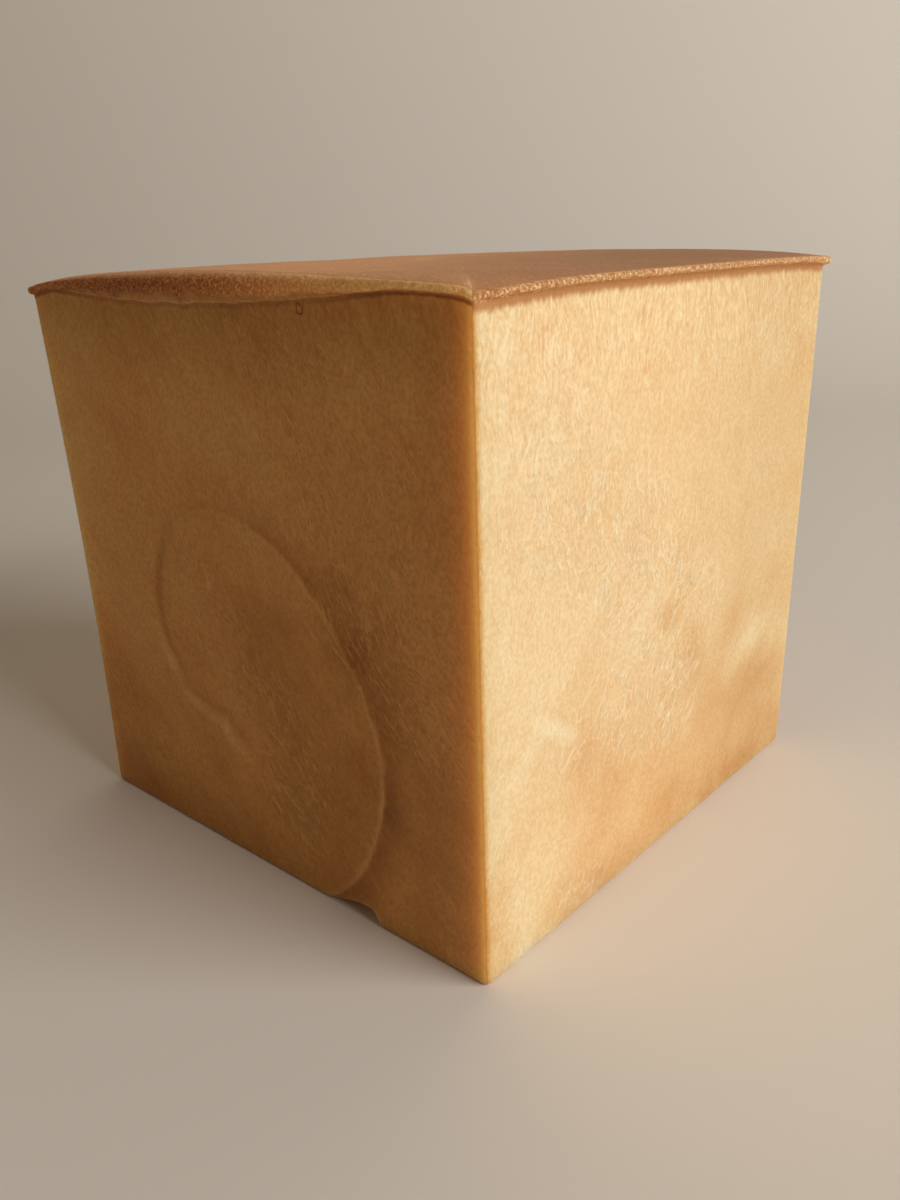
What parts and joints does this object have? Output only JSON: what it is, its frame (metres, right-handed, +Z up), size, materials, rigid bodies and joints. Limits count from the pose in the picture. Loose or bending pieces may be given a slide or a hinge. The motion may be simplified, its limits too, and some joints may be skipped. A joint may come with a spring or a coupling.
{
  "type": "shokupan loaf",
  "caption": "Uncut cube of milk bread baked in a lidded tin, with a thin fin of crust round its flat top and a low spiral on the ends of its roll.",
  "frame": {"origin": "middle of the bounding box at the height of the underside, where the loaf stands", "axes": "+Z up; the roll of dough lies along X, so its spiral ends are the -X and +X faces; the plain face that is fully lit in the picture is -Y"},
  "size_m": [0.1254, 0.1254, 0.1217],
  "materials": {
    "crust": "matte baked crust"
  },
  "bodies": {
    "root": {"shokupan_loaf": "crust"}
  },
  "joints": []
}
